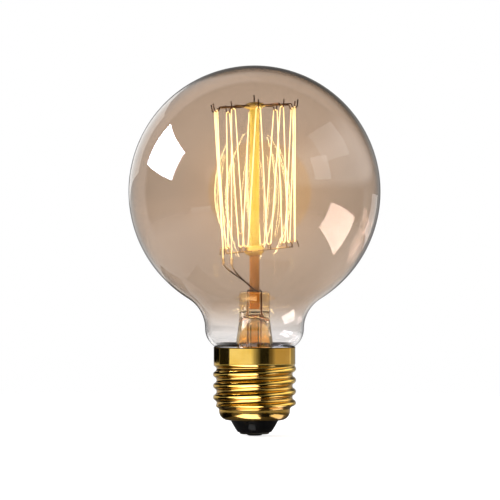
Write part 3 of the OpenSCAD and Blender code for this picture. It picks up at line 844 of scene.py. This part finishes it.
def studio_world():
    """White for all that is seen straight.

    Reflections see a dim room: a pale card behind the lamp, a table and a pale wall to the right.
    The ranges are of the ray's direction, where x is to the right, y to the back and z up.
    """
    world = bpy.data.worlds.new("studio")
    scene.world = world
    world.use_nodes = True
    tree = world.node_tree
    background = tree.nodes["Background"]
    coord = add(tree, "ShaderNodeTexCoord")
    split = add(tree, "ShaderNodeSeparateXYZ")
    tree.links.new(coord.outputs["Generated"], split.inputs[0])
    x, y, z = split.outputs
    dim_corner = product(tree, remap(tree, z, 0.05, 0.4, 0, 1), remap(tree, y, 0.70, 0.84, 0, 1),
                         remap(tree, x, -0.28, -0.10, 0, 1))
    card = product(tree, remap(tree, y, 0.42, 0.54, 0, 1), remap(tree, y, 0.955, 0.985, 1, 0.3),
                   remap(tree, x, -0.25, 0.25, 0.55, 0.30), remap(tree, dim_corner, 0, 1, 1, 0.2))
    table = product(tree, remap(tree, z, -0.75, -0.35, 1, 0), remap(tree, x, -0.5, 0.6, 0.60, 0.25))
    wall = product(tree, remap(tree, x, 0.40, 0.85, 0, 1.1), remap(tree, z, 0.0, 0.16, 0, 1),
                   remap(tree, z, 0.45, 0.75, 1, 0))
    room = math_node(tree, "ADD", DARKNESS, largest(tree, wall, card, table))
    path = add(tree, "ShaderNodeLightPath")
    bounced = math_node(tree, "MINIMUM", path.outputs["Glossy Depth"], 1)
    straight = math_node(tree, "SUBTRACT", 1, bounced)
    level_ray = remap(tree, math_node(tree, "ABSOLUTE", z), 0.45, 0.65, 1, 0)
    through = product(tree, path.outputs["Is Transmission Ray"], straight, level_ray)
    seen = largest(tree, path.outputs["Is Camera Ray"], through)
    diffuse = path.outputs["Is Diffuse Ray"]
    lit = product(tree, diffuse, AMBIENT)
    reflected = product(tree, room, math_node(tree, "SUBTRACT", 1, diffuse))
    level = largest(tree, math_node(tree, "ADD", lit, reflected), seen)
    tree.links.new(level, background.inputs["Strength"])
    background.inputs["Color"].default_value = (*WHITE, 1)


studio_world()


def area_light(name, centre, across, down, level, colour=WHITE, only=(), **visible):
    """Rectangle of light with two edge vectors, turned towards the centre of the globe.

    The level is the brightness of its surface, whatever its size. It reaches only the pieces in
    only, if there are any, and visible switches kinds of rays off.
    """
    across, down, centre = Vector(across), Vector(down), Vector(centre)
    data = bpy.data.lights.new(name, "AREA")
    data.shape = "RECTANGLE"
    data.size, data.size_y = across.length, down.length
    data.energy = level * math.pi * data.size * data.size_y
    data.color = colour
    x, y = across.normalized(), down.normalized()
    z = x.cross(y)
    if z.dot(centre - Vector((0, 0, GLOBE_Z * MM))) < 0:
        x, z = -x, -z
    light = bpy.data.objects.new(name, data)
    light.matrix_world = Matrix.Translation(centre) @ Matrix((x, y, z)).transposed().to_4x4()
    for key, value in visible.items():
        setattr(light, "visible_" + key, value)
    scene.collection.objects.link(light)
    if only:
        receivers = bpy.data.collections.new(name + "_receivers")
        for piece in only:
            receivers.objects.link(piece)
        light.light_linking.receiver_collection = receivers


def pieces(*starts):
    return [o for o in scene.objects if o.type == "MESH" and o.name.startswith(starts)]


REFLECTED_ONLY = {"camera": False, "diffuse": False, "transmission": False}
DIFFUSE_ONLY = {"camera": False, "glossy": False, "transmission": False}
SOFTBOX = ((-0.865, 0.115, 0.436), (-0.145, -0.665, -0.081), (-0.125, 0.095, -0.361))
GLASS_PIECES = [bpy.data.objects[name] for name in
                ("envelope", "stem", "exhaust", "rod", "bead_upper", "bead_lower")]
SHELL_ONLY = [bpy.data.objects["shell"]]
FOOT_ONLY = [bpy.data.objects["insulator"]]
GLOBE_ONLY = [bpy.data.objects["envelope"]]
STEM_ONLY = [bpy.data.objects["stem"]]
PANE_WHITE = (1, 0.98, 0.96)
WARM_CARD = (1.0, 0.80, 0.60)
COOL_CARD = (0.9, 0.9, 1.3)
CARD_DISTANCE = 0.3
CARD_Z = 0.016

# One soft box, as the glass shows it and as it lights the lamp
area_light("softbox_seen", *SOFTBOX, 24, (0.93, 1, 1.22), GLASS_PIECES, camera=False, diffuse=False)
area_light("softbox_light", *SOFTBOX, 6, **DIFFUSE_ONLY)


def cap_card(name, azimuth, spans, level, colour=WHITE):
    """A card that only the shell reflects, at an angle from the front. Angles are in degrees."""
    a = math.radians(azimuth)
    out = Vector((math.sin(a), -math.cos(a), 0))
    across = Vector((math.cos(a), math.sin(a), 0))
    size = [2 * CARD_DISTANCE * math.tan(math.radians(span) / 2) for span in spans]
    area_light(name, out * CARD_DISTANCE + Vector((0, 0, CARD_Z)), across * size[0],
               across.cross(out) * size[1], level, colour, SHELL_ONLY, **REFLECTED_ONLY)


def flat_card(name, x, y, z, level, colour=WHITE, only=SHELL_ONLY):
    """A level card by the cap, over x and y ranges in millimetres, that only one piece reflects."""
    centre = Vector(((x[0] + x[1]) / 2, (y[0] + y[1]) / 2, z)) * MM
    across, down = (x[1] * MM - x[0] * MM, 0, 0), (0, y[1] * MM - y[0] * MM, 0)
    area_light(name, centre, across, down, level, colour, only, **REFLECTED_ONLY)


def ghost(name, out, across, down, level):
    """A pane of light off to one side, which only the globe reflects."""
    centre = Vector(out).normalized() + Vector((0, 0, GLOBE_Z * MM))
    area_light(name, centre, across, down, level, PANE_WHITE, GLOBE_ONLY, **REFLECTED_ONLY)


ghost("ghost_right", (0.86, -0.411, 0.302), (0.13, 0.27, 0), (-0.09, 0.03, 0.30), 1.5)
ghost("ghost_high", (0.835, -0.02, 0.55), (0.10, 0.62, 0.02), (-0.20, 0.02, 0.34), 0.9)
ghost("ghost_low", (0.60, 0.785, -0.12), (0.25, -0.19, 0), (0.02, 0.026, 0.24), 0.8)
ghost("ghost_behind", (-0.45, 0.85, 0.24), (-0.40, -0.31, 0.15), (0.10, 0.06, 0.39), 0.9)
ghost("ghost_left", (-0.72, -0.60, -0.36), (0.22, -0.26, 0.02), (0.05, 0.06, -0.28), 1.0)

# Each card beside the cap fades out in narrow steps
LEFT_H, RIGHT_H = 12, 60
cap_card("card_left", -41, (66, LEFT_H), 1.0)
cap_card("card_right", 91.5, (63, RIGHT_H), 0.46, WARM_CARD)
for n, (azimuth, level) in enumerate(
        ((-6, 0.75), (-2, 0.55), (2, 0.38), (6, 0.24), (10, 0.13), (14, 0.06))):
    cap_card(f"card_left_{n}", azimuth, (4, LEFT_H), level)
for n, (azimuth, level) in enumerate(((42, 0.07), (46, 0.12), (50, 0.17), (54, 0.24), (58, 0.34))):
    cap_card(f"card_right_{n}", azimuth, (4, RIGHT_H), level, WARM_CARD)
flat_card("card_over", (-26, 3), (-45, -13.8), 28.9, 0.42, (1.0, 0.78, 0.60))
flat_card("card_over_right", (13.8, 45), (-16, 30), 28.9, 0.5, WARM_CARD)
flat_card("card_under", (-13, 3), (-24, -10.3), 0.03, 3.4, COOL_CARD)
flat_card("card_low", (-34, 3), (-50, -12.5), 8.6, 2.6, (0.9, 0.9, 1.2))
flat_card("card_under_right", (10.8, 22), (-14, 1), 0.03, 1.6, COOL_CARD)
flat_card("card_foot", (-3.2, 0.4), (-9.0, -6.6), 0.02, 0.6, only=FOOT_ONLY)


def glow_strip(name, angle):
    """Light of the lit strands on the rod and the beads between them."""
    a = math.radians(angle)
    out, width, length = 0.009, 0.002, 0.046
    area_light(name, (out * math.sin(a), -out * math.cos(a), CAGE_MIDDLE * MM),
               (width * math.cos(a), width * math.sin(a), 0), (0, 0, -length), 15.0, (1.0, 0.90, 0.48),
               pieces("rod", "bead_"), **DIFFUSE_ONLY)


for n, angle in enumerate((-60, 45, 180)):
    glow_strip(f"glow_{n}", angle)
area_light("glow_low", (0, -0.012, (LOWER_Z + 6) * MM), (0.016, 0, 0), (0, 0.0027, 0.0054), 9.0,
           (1.0, 0.94, 0.60), pieces("hook_lower_", "bead_lower"), camera=False, transmission=False)
area_light("glow_leads", (-0.008, -0.012, 0.056), (0.010, 0, 0), (0, 0, -0.006), 2.0,
           (1.0, 0.85, 0.62), pieces("lead_left", "lead_right"), camera=False, transmission=False)
area_light("glow_inside", (0, 0, 0.0215), (0.009, 0, 0), (0, 0.009, 0), 12.0,
           (1.0, 0.80, 0.46), pieces("stem", "exhaust"), **DIFFUSE_ONLY)
area_light("stem_glint", (-0.0073, -0.0061, 0.0383), (0.0056, -0.0083, 0.0055),
           (0.00108, -0.0016, -0.0035), 14.0, (1.0, 1.0, 0.97), STEM_ONLY, **REFLECTED_ONLY)
area_light("stem_card", (-0.06, -0.09, 0.15), (0.12, 0, 0), (0, 0.05, -0.04), 6.0,
           (1.0, 0.97, 0.92), STEM_ONLY, **REFLECTED_ONLY)


def stage_mesh(name, points, faces):
    """A mesh that is not part of the lamp, with a material of its own, and the nodes of that."""
    mesh = bpy.data.meshes.new(name)
    mesh.from_pydata(points, [], faces)
    obj = bpy.data.objects.new(name, mesh)
    scene.collection.objects.link(obj)
    material, tree, shader = new_material(name)
    mesh.materials.append(material)
    return obj, tree, shader


def flag(name, corners):
    """Black card, seen only in reflections. Corners are in millimetres."""
    obj, _, shader = stage_mesh(name, [Vector(p) * MM for p in corners], [[0, 1, 2, 3]])
    shader.inputs["Base Color"].default_value = (0.004, 0.004, 0.004, 1)
    shader.inputs["Roughness"].default_value = 1
    shader.inputs["Specular IOR Level"].default_value = 0
    obj.visible_camera = obj.visible_diffuse = obj.visible_transmission = obj.visible_shadow = False


flag("flag_behind", [(-46, 12, 22), (-46, 12, 42), (-24, 42, 42), (-24, 42, 22)])
flag("flag_front", [(2.3, -13.8, 0.4), (9.2, -10.8, 0.4), (42, -46, 0.4), (10, -60, 0.4)])
flag("flag_low", [(-60, -22, 0.4), (-13.5, -7.5, 0.4), (-14, 10, 0.4), (-60, 20, 0.4)])


def halo():
    """Warm glow round the cage, which only shows through the smoked glass."""
    radius = 0.034
    points, faces = lathe_data([(0.0, 0.0), (0.015, 0.0), (radius, 0.0)], 48)
    obj, tree, _ = stage_mesh("halo", [(x, 0, y) for x, y, _ in points], faces)
    obj.location = (0.002, 0.07, CAGE_MIDDLE * MM - 0.003)
    coord = add(tree, "ShaderNodeTexCoord")
    length = add(tree, "ShaderNodeVectorMath", operation="LENGTH")
    tree.links.new(coord.outputs["Object"], length.inputs[0])
    clear = add(tree, "ShaderNodeBsdfTransparent")
    glow = add(tree, "ShaderNodeEmission")
    reach = remap(tree, length.outputs["Value"], 0.0, radius, 0, 1)
    tint = ramp(tree, reach, [(0.0, (1, 0.93, 0.74)), (0.50, (1, 0.91, 0.70)), (0.56, (1, 0.98, 0.93)),
                              (1.0, WHITE)])
    light = ramp(tree, reach, [(0.0, (0.32, 0.22, 0.12)), (0.50, (0.26, 0.17, 0.08)),
                               (0.56, (0.14, 0.09, 0.05)), (1.0, BLACK)])
    tree.links.new(tint, clear.inputs["Color"])
    tree.links.new(light, glow.inputs["Color"])
    glow.inputs["Strength"].default_value = 1
    both = add(tree, "ShaderNodeAddShader")
    tree.links.new(clear.outputs[0], both.inputs[0])
    tree.links.new(glow.outputs[0], both.inputs[1])
    tree.links.new(both.outputs[0], tree.nodes["Material Output"].inputs["Surface"])
    obj.visible_camera = obj.visible_diffuse = obj.visible_glossy = obj.visible_shadow = False


halo()


def floor():
    """White table, dimmer in reflections, that fades out round the lamp so that no edge shows."""
    points, faces = lathe_data([(r, 0.0) for r in (0.0, 0.05, 0.1, 0.2, 0.3, 0.4)], 64)
    obj, tree, shader = stage_mesh("floor", points, faces)
    obj.location.z = -0.0001
    _, distance = height(tree)
    white = mottle(tree, noise(tree, 6, 3), (0.88, 0.88, 0.88), (0.90, 0.90, 0.90))
    path = add(tree, "ShaderNodeLightPath")
    dim = product(tree, path.outputs["Is Glossy Ray"], remap(tree, distance, 0.03, 0.09, 0.85, 0.3))
    tree.links.new(mix_colour(tree, dim, white, BLACK), shader.inputs["Base Color"])
    shader.inputs["Roughness"].default_value = 0.9
    shader.inputs["Specular IOR Level"].default_value = 0.1
    tree.links.new(remap(tree, distance, *FLOOR_FADE, 1, 0), shader.inputs["Alpha"])
    seen = largest(tree, path.outputs["Is Camera Ray"], path.outputs["Is Transmission Ray"])
    shader.inputs["Emission Color"].default_value = (*WHITE, 1)
    tree.links.new(product(tree, seen, FLOOR_GLOW), shader.inputs["Emission Strength"])


floor()

CAMERA_X = -0.00143
CAMERA_BACK = 1.1
CAMERA_Z = 0.0589
VIEW_WIDTH = 0.15875
SENSOR = 36
camera_data = bpy.data.cameras.new("camera")
camera_data.sensor_width = SENSOR
camera_data.lens = SENSOR * CAMERA_BACK / VIEW_WIDTH
camera = bpy.data.objects.new("camera", camera_data)
camera.location = (CAMERA_X, -CAMERA_BACK, CAMERA_Z)
camera.rotation_euler = (math.radians(90), 0, 0)
scene.collection.objects.link(camera)
scene.camera = camera

scene.view_settings.view_transform = "Standard"
scene.cycles.max_bounces = 24
scene.cycles.transmission_bounces = 24
scene.cycles.glossy_bounces = 12
